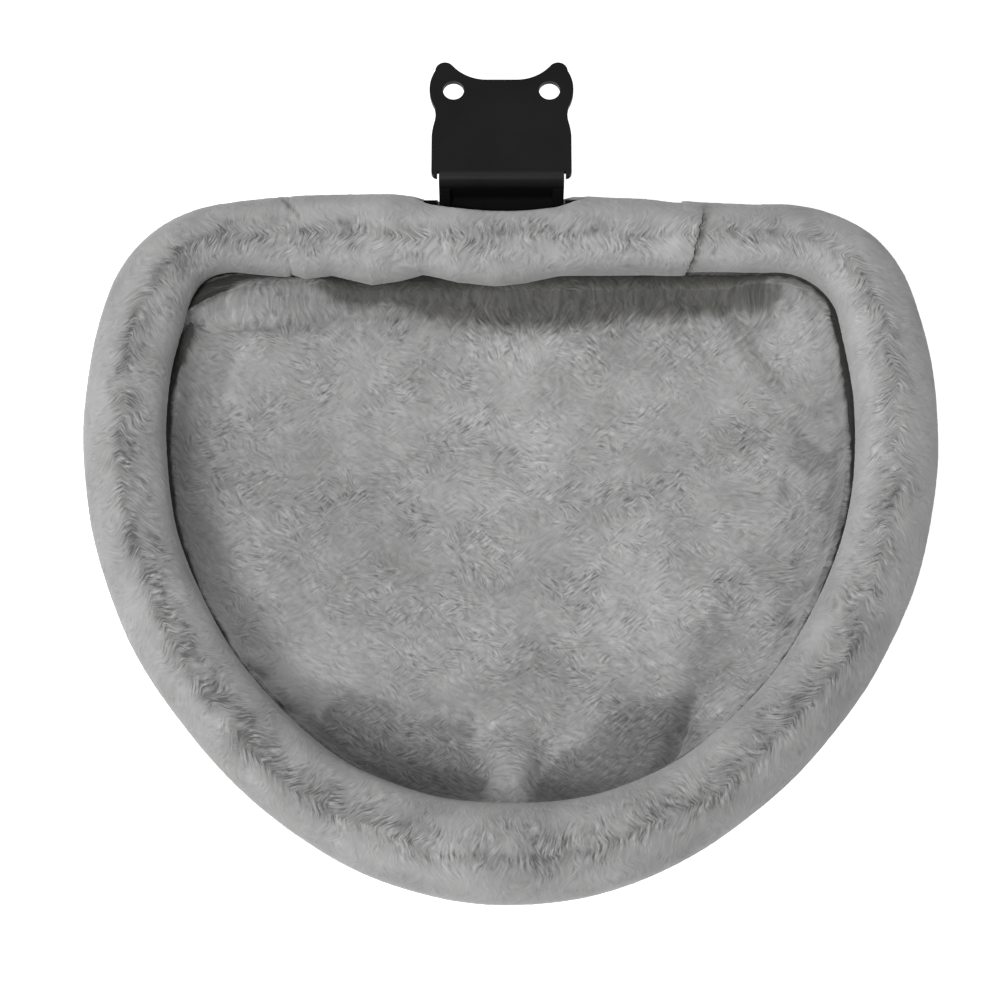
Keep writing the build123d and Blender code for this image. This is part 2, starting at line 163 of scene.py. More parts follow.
class Finish:
    def __init__(self, name):
        self.material = bpy.data.materials.new(name)
        self.material.use_nodes = True
        self.tree = self.material.node_tree
        self.tree.nodes.clear()

    def node(self, kind, settings=None, sockets=None, out=0):
        made = self.tree.nodes.new(kind)
        for key, value in (settings or {}).items():
            if key == "stops":
                ramp = made.color_ramp
                while len(ramp.elements) < len(value):
                    ramp.elements.new(0.5)
                for element, stop in zip(ramp.elements, value):
                    element.position, element.color = stop
            else:
                setattr(made, key, value)
        for key, value in (sockets or {}).items():
            if isinstance(value, Signal):
                self.tree.links.new(value.socket, made.inputs[key])
            else:
                made.inputs[key].default_value = value
        return Signal(self, made.outputs[out]) if made.outputs else made

    def place(self):
        return self.node("ShaderNodeTexCoord", {}, {}, "Object")

    def nap(self):
        return self.node("ShaderNodeUVMap", {"uv_map": "nap"}, {}, "UV")

    def axis(self, vector, name):
        return self.node("ShaderNodeSeparateXYZ", {}, {"Vector": vector}, name)

    def vector(self, operation, first, second):
        return self.node("ShaderNodeVectorMath", {"operation": operation}, {0: first, 1: second})

    def noise(self, vector, scale, detail=2.0, roughness=0.5):
        sockets = {"Vector": vector, "Scale": scale, "Detail": detail, "Roughness": roughness}
        return self.node("ShaderNodeTexNoise", {}, sockets, "Fac")

    def between(self, value, low, high, start=0.0, end=1.0):
        # The share that a value is of the way from low to high
        sockets = {"Value": value, "From Min": low, "From Max": high, "To Min": start, "To Max": end}
        return self.node("ShaderNodeMapRange", {}, sockets)

    def ramp(self, value, *stops):
        return self.node("ShaderNodeValToRGB", {"stops": stops}, {0: value}, "Color")

    def greys(self, value, base, *stops):
        return self.ramp(value, *[(place, grey(base * share)) for place, share in stops])

    def mix(self, share, first, second):
        return self.node("ShaderNodeMix", {"data_type": "RGBA"}, {"Factor": share, 6: first, 7: second}, 2)

    def surface(self, sockets, height=None, distance=0.001, strength=1.0):
        if height is not None:
            relief = {"Height": height, "Distance": distance, "Strength": strength}
            sockets["Normal"] = self.node("ShaderNodeBump", {}, relief, "Normal")
        shader = self.node("ShaderNodeBsdfPrincipled", {}, sockets)
        self.node("ShaderNodeOutputMaterial", {}, {"Surface": shader})
        return self.material


def grey(value, warmth=0.0):
    return (value * (1 + warmth), value, value * (1 - warmth), 1)


plushLook = {
    "dark": grey(0.112, 0.008), "middle": grey(0.300, 0.004), "light": grey(0.50, 0.0),
    # colours of the painted shade: shade, the warmer backShade below the back rim past backEdge, and hollow
    # and the deepest colour for its darkest parts
    "shade": grey(0.085, -0.01), "backShade": (0.100, 0.098, 0.083, 1), "backEdge": (-0.150, -0.125),
    "hollow": 0.012, "deepestPaintedShade": 0.016, "strandWidth": 0.00125, "strandLength": 0.0060,
    "strandRoughness": 0.66, "clumpSize": 2.2, "curl": 0.0042, "patch": 0.017,
    # scale and detail of the noises
    "curlNoise": (90.0, 1.0), "cloudNoise": (42.0, 3.0, 0.55), "patchNoise": (15.0, 2.0, 0.5),
    "breakNoise": (150.0, 2.0),
    # shares of the pattern that are light or dark hairs, and where hairs are missing or strong
    "lightHairs": (0.50, 0.68), "darkHairs": (0.49, 0.33), "patchEdge": (0.50, 0.56),
    "presence": (0.38, 0.62, 0.3, 1.35), "sheen": 0.25,
}


def plushFinish(name, look, leans, strength, tint):
    # Short combed plush: thin strands in patches of a few directions, given as angles in the nap's plane
    finish = Finish(name)
    nap = finish.nap()
    place = finish.place()
    # relief: tone offset with painted light and shade, also a bump; depth: share of painted shade; calm:
    # fainter hairs
    relief, depth, calm = [finish.node("ShaderNodeAttribute", {"attribute_name": label}, {}, "Fac")
                           for label in ("relief", "depth", "calm")]
    wander = finish.noise(place, *look["curlNoise"])
    sideways = finish.node("ShaderNodeCombineXYZ", {}, {"X": (wander - 0.5) * look["curl"], "Y": 0.0})
    bent = finish.vector("ADD", nap, sideways)

    def strokes(lean, size):
        rotation = (0, 0, -math.radians(90 + lean))
        turned = finish.node("ShaderNodeMapping", {}, {"Vector": bent, "Rotation": rotation})
        scale = (1 / (size * look["strandWidth"]), 1 / (size * look["strandLength"]), 1)
        return finish.noise(finish.vector("MULTIPLY", turned, scale), 1.0, 2.0, look["strandRoughness"])

    pattern = strokes(leans[0], 1.0)
    for number, lean in enumerate(leans[1:]):
        moved = finish.vector("ADD", place, (3.7 * (number + 1), 0, 0))
        patch = finish.between(finish.noise(moved, 1 / look["patch"], 1.0), *look["patchEdge"])
        pattern = pattern + (strokes(lean, 1.0) - pattern) * patch
    clumps = strokes(leans[0], look["clumpSize"])
    cloud = finish.noise(place, *look["cloudNoise"])
    patches = finish.noise(place, *look["patchNoise"])
    light = finish.between(pattern, *look["lightHairs"])
    dark = finish.between(pattern, *look["darkHairs"])
    crisp = 1.0 - calm * 0.75
    present = finish.between(finish.noise(place, *look["breakNoise"]), *look["presence"])
    hairs = ((light - dark * 1.12) * 0.50 * present + (clumps - 0.5) * 0.5) * crisp * strength
    tone = hairs + relief * 0.42 + (cloud - 0.5) * 0.55 + (patches - 0.5) * 0.4 + (0.5 + tint)
    pile = finish.ramp(tone, (0.0, look["dark"]), (0.5, look["middle"]), (1.0, look["light"]))
    # painted shade from depth: single hairs still catch light in it, and the painted shade below the back rim
    # is warmer
    atBack = finish.between(finish.axis(place, "Y"), *look["backEdge"])
    shade = finish.mix(atBack, look["shade"], look["backShade"])
    mottled = finish.between(cloud * 0.6 + clumps * 0.4 + (light - dark) * 0.05, 0.22, 0.70)
    shade = finish.mix(mottled, grey(look["hollow"]), shade)
    ruffle = (cloud - 0.5) * 2.4 - (light - dark) * 0.42 - (clumps - 0.5) * 0.8
    colour = finish.mix(depth + depth * (1.0 - depth) * ruffle, pile, shade)
    # the deepest painted shade turns near black
    colour = finish.mix(finish.between(depth, 0.80, 0.96), colour, grey(look["deepestPaintedShade"]))
    sockets = {
        "Base Color": colour,
        "Roughness": 0.9,
        "Specular IOR Level": 0.12,
        "Sheen Weight": look["sheen"],
        "Sheen Roughness": 0.5,
        "Sheen Tint": grey(0.9),
    }
    return finish.surface(sockets, pattern * crisp + relief * 0.3, 0.0008, strength)


# Ring: the D of the rim, followed from the middle of its back to the right

ring = {
    "middleX": 0.0045, "backY": -0.069, "level": -0.026, "backHalf": 0.132, "cornerBend": 0.050,
    "sideBend": 0.235, "cornerTurn": 75.0, "sideTurn": 68.0, "tubeRadius": 0.008, "rollRadius": 0.020,
    "frontRadius": 0.0235, "fullReach": 0.125,
}


def ringRuns(inset):
    # Length and bend of each run of the D, drawn in by the inset
    corner = math.radians(ring["cornerTurn"])
    side = math.radians(ring["sideTurn"])
    front = math.pi - corner - side
    reach = ring["backHalf"] + ring["cornerBend"] * math.sin(corner)
    reach += ring["sideBend"] * (math.sin(corner + side) - math.sin(corner))
    frontBend = reach / math.sin(corner + side)
    bends = zip((corner, side, front), (ring["cornerBend"], ring["sideBend"], frontBend))
    half = [(ring["backHalf"], 0.0)] + [(turn * (bend - inset), 1 / (bend - inset)) for turn, bend in bends]
    return half + half[::-1]


def lengthRound(inset=0.0):
    return sum(length for length, _ in ringRuns(inset))


def ringPath(distance, inset=0.0):
    # Place and outward direction on the D at distances from the middle of its back
    def after(step):
        angle = heading - step * curve
        if curve:
            aside = (np.sin(angle) - np.sin(heading)) / curve
            return x - aside, y + (np.cos(angle) - np.cos(heading)) / curve, angle
        return x + step * np.cos(heading), y + step * np.sin(heading), angle

    x, y, heading, start = 0.0, 0.0, 0.0, 0.0
    distance = np.mod(distance, lengthRound(inset))
    px, py, turn = (np.zeros_like(distance) for _ in range(3))
    for length, curve in ringRuns(inset):
        here = (distance >= start) & (distance <= start + length + 1e-9)
        px[here], py[here], turn[here] = after(distance[here] - start)
        x, y, heading = after(length)
        start += length
    return px, py, -np.sin(turn), np.cos(turn)


ringLength = lengthRound()


def rollPoint(distance, angle, radius):
    # A point on the roll: the angle is 0 outward, 90 degrees at the top
    x, y, outX, outY = ringPath(distance)
    side = radius * np.cos(angle)
    x = ring["middleX"] + x + outX * side
    y = ring["backY"] + y + outY * side
    return np.stack([x, y, ring["level"] + radius * np.sin(angle)], axis=-1)


def frontSwell(distance, reach):
    # 1 in the middle of the front, falling to 0 on both sides of it
    away = np.abs(distance - ringLength / 2) / reach
    return np.where(away < 1, 0.5 + 0.5 * np.cos(math.pi * np.minimum(away, 1)), 0)


def rollRadius(distance):
    full = frontSwell(distance, ring["fullReach"])
    return ring["rollRadius"] + (ring["frontRadius"] - ring["rollRadius"]) * full


def angleStep(low, high, angle):
    # A soft step between two angles on the roll, given in degrees
    return smoothStep(math.radians(low), math.radians(high), angle)


def angleBump(middle, width, angle):
    return bump(angle, math.radians(middle), math.radians(width))


# The pile of the roll: it parts along the top, on the desk side at the back and a little outside at the front

pile = {
    "partingLean": 20, "partingWaves": [(13, 0.060, 7), (8, 0.017, 8)], "lean": 1.15, "leanNoise": 0.75,
    "leanReach": 0.0085, "tufts": [(0.0034, 0.0100), (0.0021, 0.0065)], "sway": 0.0016, "tuft": 0.0012,
    "combed": (0.0065, 0.0140), "grooveWidth": 0.0017, "grooveSlip": 0.0011, "groove": 0.0013,
    "lump": 0.0007,
}


def rollNap(distance, angle):
    # The pile lies away from its parting and leans to the front
    lean = np.clip(3 * np.sin(2 * math.pi * distance / ringLength), -1, 1) * pile["lean"]
    lean = lean + pile["leanNoise"] * gradientNoise(distance / 0.016, angle / 0.7, 9)
    wave = sum(turn * drift(distance, size, seed) for turn, size, seed in pile["partingWaves"])
    parting = np.radians(90 + pile["partingLean"] * np.cos(2 * math.pi * distance / ringLength) + wave)
    away = (angle - parting) * ring["rollRadius"]
    return distance - lean * pile["leanReach"] * (1 - np.exp(-np.abs(away) / pile["leanReach"])), away


def tuftRelief(across, along, seed):
    # Tufts with creases between them, about 2 mm wide and 8 mm long
    across = across + pile["sway"] * gradientNoise(across / 0.009, along / 0.011, seed + 5)
    broad, thin = [np.abs(gradientNoise(across / width, along / length, seed + number))
                   for number, (width, length) in enumerate(pile["tufts"])]
    return np.clip(0.65 * broad ** 0.7 + 0.5 * thin ** 0.8, 0, 1)


def combed(distance, away, seed):
    # How ruffled the pile is: most along the parting, in an uneven band
    width = np.where(away < 0, *pile["combed"]) * (1 + 0.35 * drift(distance, 0.028, seed))
    patchy = 0.75 + 0.60 * gradientNoise(distance / 0.015, away / 0.010, seed + 1)
    return np.clip(bump(away, 0, width) * patchy, 0, 1)


def partingGroove(distance, away, seed):
    # A broken line of short openings in the pile
    broken = 0.10 + 0.90 * drift(distance, 0.0075, seed) + 0.4 * drift(distance, 0.030, seed + 1)
    slip = pile["grooveSlip"] * drift(distance, 0.0045, seed + 2)
    return bump(away, slip, pile["grooveWidth"]) * np.clip(broken, 0, 1)


def ringPaintedLight(distance, angle, ruffled):
    # Painted light and shade on the roll: lighter on the bed's side of the back and the right, darker in
    # front and on the left
    back = np.cos(2 * math.pi * distance / ringLength)
    right = np.sin(2 * math.pi * distance / ringLength)
    lighter = 0.36 * np.maximum(back, 0) + 0.33 * np.maximum(right, 0) + 0.18 * np.maximum(-right, 0)
    darker = 0.28 * np.maximum(-back, 0) + (0.42 * ruffled + 0.10) * np.maximum(-right, 0)
    return angleStep(98, 138, angle) * lighter - darker


def fromMiddle(distance):
    # How far right of the part's middle a place is
    return np.mod(distance + ringLength / 2, ringLength) - ringLength / 2 + ring["middleX"]


# Where the roll swells on both sides of the bracket's foot and falls away towards the right corner
outerBulges = [(-0.165, 0.0), (-0.134, -0.0008), (-0.115, 0.0012), (-0.099, 0.0021), (-0.075, 0.0027),
               (-0.055, 0.0032), (-0.044, 0.0022), (-0.036, 0.0), (0.027, 0.0), (0.036, 0.0022),
               (0.044, 0.0018), (0.068, 0.0006), (0.098, -0.0010), (0.127, -0.0024), (0.150, -0.0014),
               (0.175, 0.0)]


def shortCrease(distance, angle):
    # A short slanting crease in the plush at the flap's left end
    share = (angle - math.radians(32)) / math.radians(44)
    return bump(fromMiddle(distance) + 0.1115 - 0.0095 * share, 0, 0.0015) * bump(share, 0.5, 0.55)


def rollPile(distance, angle):
    # Relief of the pile, and its nap, tone with painted light and shade, and calm for the finish
    across, away = rollNap(distance, angle)
    tufts = tuftRelief(across, away, 11)
    groove = partingGroove(distance, away, 31)
    ruffled = combed(distance, away, 37)
    relief = pile["tuft"] * (tufts - 0.45) * (0.25 + 0.75 * ruffled) - pile["groove"] * groove
    relief = relief + pile["lump"] * gradientNoise(distance / 0.045, angle * 1.2, 41)
    relief = relief + np.interp(fromMiddle(distance), *zip(*outerBulges)) * angleBump(24, 50, angle)
    relief = relief - 0.0009 * shortCrease(distance, angle)
    # painted shade: darker between tufts and where the pile stands up along the parting, darkest where it
    # opens
    tone = (tufts - 0.42) * (0.2 + 0.75 * ruffled) - 0.62 * ruffled - groove * 0.35 + 0.30
    nap = np.stack([across, away], axis=-1).reshape(-1, 2)
    return relief, nap, tone + ringPaintedLight(distance, angle, ruffled), 1 - ruffled


# Rim: a plush sleeve round the foam

rim = {
    "flapLeft": -0.1058, "flapRight": 0.0900, "wall": 0.0047, "rings": 1040, "boreRings": 180,
    "topCells": 68, "lowerCells": 30, "press": 0.0037, "squeeze": 0.0019, "squeezePlace": (0.156, 0.014),
    "innerSide": (200, 50), "endRound": 0.0016, "joint": 0.0010, "jointDip": 0.0007, "slack": 0.0001,
}


def rollAngles(top, lower):
    # Fine cells over the top half of the roll and coarser ones below
    above = np.linspace(-0.15 * math.pi, 1.15 * math.pi, top, endpoint=False)
    below = np.linspace(1.15 * math.pi, 1.85 * math.pi, lower, endpoint=False)
    return np.concatenate([above, below])


def squeezed(distance, angle):
    # The back left corner is tight on its inner side, which squeezes roll and foam
    leftward = ringLength - np.mod(distance, ringLength)
    return rim["squeeze"] * bump(leftward, *rim["squeezePlace"]) * angleBump(*rim["innerSide"], angle)


def pressed(distance, angle):
    # The desk side of the roll is narrower along the back and in the two back corners
    place = np.mod(distance, ringLength)
    fromBack = np.minimum(place, ringLength - place)
    left = (0.35 + 0.65 * smoothStep(0.110, 0.145, fromBack)) * smoothStep(0.205, 0.165, fromBack)
    along = np.where(place > ringLength / 2, left, smoothStep(0.235, 0.150, fromBack))
    return rim["press"] * along * angleBump(*rim["innerSide"], angle) + squeezed(distance, angle)


def makeRim(material):
    start = rim["flapRight"] - ring["middleX"] + 0.0003
    end = ringLength + rim["flapLeft"] - ring["middleX"] + rim["joint"]
    angle = rollAngles(rim["topCells"], rim["lowerCells"])
    s, a = np.meshgrid(np.linspace(start, end, rim["rings"]), angle, indexing="ij")
    relief, nap, tone, calm = rollPile(s, a)
    radius = rollRadius(s) + relief - pressed(s, a)
    radius = radius - rim["jointDip"] * smoothStep(end - 2.2 * rim["joint"], end, s)
    radius = radius - rim["endRound"] * rounded((s - start) / rim["endRound"] + angleStep(95, 70, a))
    outer = rollPoint(s, a, radius)
    inner = np.meshgrid(np.linspace(end, start, rim["boreRings"]), angle, indexing="ij")
    bore = rollPoint(*inner, rollRadius(inner[0]) - rim["wall"] + rim["slack"] - squeezed(*inner))
    points = np.concatenate([outer.reshape(-1, 3), bore.reshape(-1, 3)])
    quads = gridQuads(rim["rings"] + rim["boreRings"], len(angle), True, True)[:, ::-1]
    blank = np.zeros(bore.size // 3)
    # painted shadow on the sleeve beside the lip of the flap, and painted shade along the short crease
    lipShade = 0.75 * bump(ring["middleX"] + s - lipEdge(a), 0.0008, 0.0026) * angleStep(30, 60, a)
    lipShade = lipShade * np.clip(0.75 + 0.6 * drift(a, 1 / 7, 63), 0, 1) + 0.6 * shortCrease(s, a)
    values = {label: np.concatenate([field.ravel(), blank])
              for label, field in (("relief", tone), ("depth", lipShade), ("calm", calm))}
    piece = makePiece("rim_plush", points, [quads], np.concatenate([nap, np.zeros((len(blank), 2))]), values)
    dress(piece, material, "plush", "rim_sleeve")
    return piece


# Back flap: wraps the straight back of the ring, with a slit for the bracket and a lip over the sleeve

flap = {
    "columns": 230, "rows": 130,
    "opening": math.radians(233.8),   # where the wrap ends, under the ring
    "gap": math.radians(5.7), "slitHalf": 0.0425, "slitLow": math.radians(19), "slitMeet": math.radians(30),
    "slitHigh": math.radians(66), "lip": 0.0082, "lipRise": 0.0030, "lipBore": 0.0052, "edgeRound": 0.0023,
    "thinnest": 0.0013,
}
flapBulges = [(-0.110, -0.0020), (-0.098, 0.0000), (-0.085, -0.0026), (-0.065, 0.0022), (-0.050, 0.0004),
              (-0.039, -0.0024), (-0.022, 0.0014), (-0.003, 0.0030), (0.012, 0.0014), (0.029, -0.0018),
              (0.060, -0.0026), (0.085, -0.0030), (0.100, -0.0030)]


def lipSlant(angle):
    # The free end of the lip runs aslant over the roll
    return 0.0022 - 0.0085 * angleStep(50, 190, angle)


def lipEdge(angle):
    return rim["flapRight"] + flap["lip"] + lipSlant(angle)


def makeFlap(material):
    columns, rows = flap["columns"], flap["rows"]
    along = np.linspace(rim["flapLeft"] - rim["joint"], rim["flapRight"] + flap["lip"], columns)
    # the slit's two edges part from a line that runs the whole length
    inside = np.clip(1 - (along / flap["slitHalf"]) ** 2, 0, 1)
    high = flap["slitMeet"] + (flap["slitHigh"] - flap["slitMeet"]) * inside ** 0.55
    low = flap["slitMeet"] - (flap["slitMeet"] - flap["slitLow"]) * inside ** 0.35
    half = rows // 2
    share = np.linspace(0, 1, rows - half)
    upper = high[:, None] + (flap["opening"] - flap["gap"] - high[:, None]) * share[None, :] ** 1.06
    share = np.linspace(0, 1, half)
    start = flap["opening"] + flap["gap"] - 2 * math.pi
    lower = start + (low[:, None] - start) * share[None, :]
    angle = np.concatenate([lower, upper], axis=1)
    shear = smoothStep(rim["flapRight"] - 0.03, rim["flapRight"] + flap["lip"], along)[:, None]
    ragged = 0.0011 * drift(angle, 1 / 9, 61) + 0.0006 * drift(angle, 1 / 25, 62)
    x = along[:, None] + shear * (lipSlant(angle) + ragged)
    distance = x - ring["middleX"]
    shown = angleStep(58, 92, angle)
    rise = flap["lipRise"] * shown * (0.3 + 0.7 * angleStep(175, 130, angle)) - 0.0012 * (1 - shown)
    base = ring["rollRadius"] + rise * smoothStep(0.070, 0.088, x)
    turned = distance + ringLength
    relief, nap, tone, calm = rollPile(turned, angle)
    fullness = np.interp(x, *zip(*flapBulges)) * angleBump(200, 46, angle)
    # the ends of the wrap, the slit's edges and the lip's free end round over
    fromLeft = along - along[0]
    fromEnd = np.minimum(fromLeft, along[-1] - along)[:, None] + 0 * angle
    fromWrap = np.minimum(angle - angle[:, :1], angle[:, -1:] - angle) * ring["rollRadius"]
    parted = (inside > 0.02)[:, None]
    lowerPart = np.arange(rows)[None, :] < half
    fromSlit = np.where(lowerPart, low[:, None] - angle, angle - high[:, None]) * ring["rollRadius"]
    nearest = np.minimum(np.minimum(fromEnd, fromWrap), np.where(parted, fromSlit, 1.0))
    # the left end lies flush with the sleeve, but for a short crease on its outer side
    crease = angleStep(28, 40, angle) * angleStep(84, 72, angle)
    flush = smoothStep(0.010, 0.006, fromLeft)[:, None] * (1 - crease)
    rounding = rounded(nearest / flap["edgeRound"]) * (1 - flush)
    dip = rim["jointDip"] * smoothStep(2.2 * rim["joint"], 0, fromLeft)[:, None]
    relief = relief - dip - pressed(turned, angle) * smoothStep(0.012, 0.0, fromLeft)[:, None]
    radius = base + relief + fullness
    bore = ring["rollRadius"] - rim["wall"] + rim["slack"] + flap["lipBore"] * smoothStep(0.0888, 0.0902, x)
    bore = np.minimum(bore, base + fullness - flap["thinnest"])
    rounding = rounding * (radius - bore) * 0.5
    outer = rollPoint(np.mod(distance, ringLength), angle, radius - rounding)
    inner = rollPoint(np.mod(distance, ringLength), angle, bore + rounding)
    # faces: the grid without the slit, its inside, and strips along every open edge
    quads = gridQuads(columns, rows)
    keep = np.ones((columns - 1, rows - 1), dtype=bool)
    keep[:, half - 1] = ~(parted[:-1, 0] & parted[1:, 0])
    quads = quads[keep.ravel()]
    count = columns * rows
    edges = np.concatenate([quads[:, [0, 1]], quads[:, [1, 2]], quads[:, [2, 3]], quads[:, [3, 0]]])
    keys = np.sort(edges, axis=1)
    _, index, times = np.unique(keys[:, 0] * count + keys[:, 1], return_index=True, return_counts=True)
    border = edges[index[times == 1]]
    strips = np.stack([border[:, 1], border[:, 0], border[:, 0] + count, border[:, 1] + count], axis=1)
    faces = [quads[:, ::-1], quads + count, strips[:, ::-1]]
    points = np.concatenate([outer.reshape(-1, 3), inner.reshape(-1, 3)])
    # painted shade along the short crease
    values = {"relief": tone, "depth": 0.6 * shortCrease(turned, angle), "calm": calm}
    values = {label: np.tile(number.ravel(), 2) for label, number in values.items()}
    piece = makePiece("back_flap_plush", points, faces, np.concatenate([nap, nap]), values)
    dress(piece, material, "plush", "back_flap")
    return piece


# Bed: the plush pouch that hangs inside the ring

bed = {
    "inset": 0.0229, "shift": 0.0027, "seamLevel": -0.042, "depth": 0.0465, "around": 900, "steps": 168,
    "plush": 0.0035, "wadding": (0.0038, 0.0068), "lining": (0.0071, 0.0079), "edgeRow": -0.3,
    "tuckOut": 0.0065, "tuckUp": 0.0035, "cornerReach": 0.0085, "cornerPlace": (0.153, 0.026),
    "tuft": 0.0012, "rolling": [(0.0026, 0.055, 0.05, 71), (0.0014, 0.022, 0.025, 72)],
    "ragged": [(0.0040, 0.0045, 0.006, 75), (0.0035, 0.018, 0.02, 76)], "foldReach": 0.028,
    "foldHeight": 0.015, "hollowReach": 0.072, "hollowDepth": 0.006,
}
bedTable = {
    "depth": (0.0, 0.34, 0.65, 0.86, 0.97, 1.0, 1.0),
    "size": (1.0, 0.97, 0.88, 0.70, 0.42, 0.16, 0.0),
    "back": (0.0, 0.25, 0.30, 0.39, 0.44, 0.45, 0.484),
    "fold": (0.20, 0.75, 1.0, 0.95, 0.60, 0.10, 0.0),
    "hollow": (0.0, 0.4, 1.0, 1.0, 0.5, 0.0, 0.0),
}


def throughTable(label, place):
    # A smooth curve through a row of the table, at places counted in its steps
    values = bedTable[label]
    v = np.asarray((2 * values[0] - values[1],) + values + (2 * values[-1] - values[-2],))
    i = np.clip(np.floor(place).astype(int), 0, len(values) - 2)
    t = place - i
    a, b, c, d = v[i], v[i + 1], v[i + 2], v[i + 3]
    return b + 0.5 * t * (c - a + t * (2 * a - 5 * b + 4 * c - d + t * (3 * (b - c) + d - a)))


def bedBase(distance, place, outward):
    # The pouch by distance round its seam, row of the table and distance out from the top of the plush
    inset = bed["inset"] - outward
    x, y = ringPath(distance, inset)[:2]
    total = lengthRound(inset)
    size = np.clip(throughTable("size", place), 0, 1)
    drawnIn = -ringPath(np.full(1, total / 2), inset)[1] * (1 - size) * throughTable("back", place)
    # the fold that runs up the middle of the front, between two hollows
    front = np.abs(distance - total / 2) < total / 5
    bend = float(ringRuns(inset)[3][0] / (math.pi - math.radians(ring["cornerTurn"] + ring["sideTurn"])))
    off = np.abs(x)
    arc = bend - np.sqrt(np.maximum(bend ** 2 - np.minimum(off, 0.9 * bend) ** 2, 0))
    reach = bed["foldReach"]
    hollow = bed["hollowDepth"] * np.clip(throughTable("hollow", place), 0, 1)
    low = bend - math.sqrt(bend ** 2 - reach ** 2) - hollow
    high = bed["foldHeight"] * np.clip(throughTable("fold", place), 0, 1)
    part = np.clip(off / reach, 0, 1)
    slope = np.where(part < 0.5, 2 * part ** 2, 1 - 2 * (1 - part) ** 2)
    sunk = -hollow * (1 - smoothStep(reach, bed["hollowReach"], off))
    raised = size * front * np.where(off < reach, high + (low - high) * slope - arc, sunk)
    drop = bed["depth"] * throughTable("depth", place)
    return np.stack(
        [ring["middleX"] + x * size, ring["backY"] + bed["shift"] - inset - drawnIn + y * size + raised,
         bed["seamLevel"] - drop - outward * smoothStep(0, 3, place)], axis=-1)


# The front ridge from the rim to the floor: place, middle and half width
ridgeLevels = (-0.356, -0.340, -0.316, -0.300)
ridgeMiddles = (0.0025, 0.0035, 0.0080, 0.0085)
ridgeHalves = (0.0078, 0.0090, 0.0175, 0.0190)
# Where the crease at the front right runs, from the rim back to the middle of the bed's right side
creaseLine = [(-0.346, 0.078), (-0.307, 0.093), (-0.290, 0.098), (-0.262, 0.110), (-0.240, 0.118)]
# Two dimples at the front left: place and reach
dimples = {"outerDimple": (-0.1035, -0.3070, 0.0080), "innerDimple": (-0.1180, -0.2868, 0.0062)}
foldTable = {
    "brow": (0.0018, ("brow", -0.299, 0.010), [("off", 0.125, 0.08)]),
    "creaseStep": (0.0034, ("past", 0.008, 0.020), [("y", -0.292, -0.318), ("past", -0.002, 0.005)]),
    "creaseCut": (-0.0040, ("past", -0.004, 0.0045), [("y", -0.292, -0.318)]),
    "creaseSwell": (0.0050, ("past", 0.012, 0.026), [
        ("y", -0.225, -0.262), ("y", -0.318, -0.292), ("past", -0.010, 0.012)]),
    "cornerRight": (0.007, ("slanting", 0.014, 0.014), [("y", -0.17, -0.11), ("x", 0.10, 0.13)]),
    "slit": (-0.0045, ("slanting", 0.0, 0.0035), [("y", -0.155, -0.12), ("x", 0.10, 0.125)]),
    "cornerLeft": (0.010, ("x", -0.125, 0.034), [("y", -0.150, -0.105)]),
    "outerDimple": (-0.004, ("outerDimple", 0, 1), []),
    "innerDimple": (-0.003, ("innerDimple", 0, 1), []),
}
# How far the upper wall swells up to the roll, and its share from the edge down the wall, by row
swellTable = {
    "left": (0.0090, None, [("x", -0.070, -0.098), ("y", -0.160, -0.120)]),
    "right": (0.0075, None, [("x", 0.105, 0.130), ("y", -0.290, -0.230)]),
}
swellProfile = [(-0.3, 0.08), (-0.2, 0.5), (-0.12, 0.85), (0.0, 1.0), (0.5, 0.85), (1.0, 0.45), (1.8, 0.0)]


def bedFields(x, y):
    # What the tables of folds and shades go by, besides the place in plan
    fields = {label: np.hypot(x - spot[0], y - spot[1]) / spot[2] for label, spot in dimples.items()}
    fields.update(x=x, y=y, off=np.abs(x - 0.005), brow=y - 0.004 * drift(x, 0.03, 74))
    fields["past"] = x - np.interp(y, *zip(*creaseLine))
    fields["slanting"] = (x - 0.120) * 0.80 + (y + 0.098) * 0.55
    fields["ridgeMiddle"] = np.interp(y, ridgeLevels, ridgeMiddles)
    fields["ridgeHalf"] = np.interp(y, ridgeLevels, ridgeHalves)
    return fields


def bedFolds(x, y):
    # How far the plush stands up from the plain pouch
    fields = bedFields(x, y)
    ridge = np.exp(-np.abs((x - fields["ridgeMiddle"]) / fields["ridgeHalf"]) ** 4)
    folds = 0.0050 * smoothStep(-0.284, -0.325, y) * ridge + sum(shaped(fields, foldTable).values())
    return folds + layered(x, y, bed["rolling"])


def ringPlace(s, inset):
    # Distance along the ring's middle beside a distance along a line drawn in by the inset
    ends = [np.cumsum([0.0] + [length for length, _ in ringRuns(drawn)]) for drawn in (inset, 0.0)]
    return np.interp(np.mod(s, ends[0][-1]), *ends)


def cornerReach(place, s, inset):
    # How far the top of the bed reaches out into the squeezed corner
    leftward = ringLength - ringPlace(s, inset)
    return bed["cornerReach"] * bump(leftward, *bed["cornerPlace"]) * smoothStep(1.6, 0.0, place)


def cornerSwell(x, y):
    return sum(shaped({"x": x, "y": y}, swellTable).values())


# Upper edges of the shaded hollows beside the ridge; lower edge, by height, of the back wall's shaded strip
leftShade = [(-0.092, -0.310), (-0.083, -0.300), (-0.075, -0.291), (-0.0575, -0.2935), (-0.043, -0.3015),
             (-0.008, -0.3015)]
rightShade = [(0.018, -0.331), (0.028, -0.319), (0.041, -0.311), (0.052, -0.298), (0.068, -0.290),
              (0.090, -0.292), (0.104, -0.305)]
backShade = [(-0.098, -0.044), (-0.081, -0.056), (-0.056, -0.059), (-0.035, -0.0665), (-0.010, -0.071),
             (0.029, -0.0695), (0.058, -0.0665), (0.098, -0.0635), (0.118, -0.061), (0.137, -0.058)]
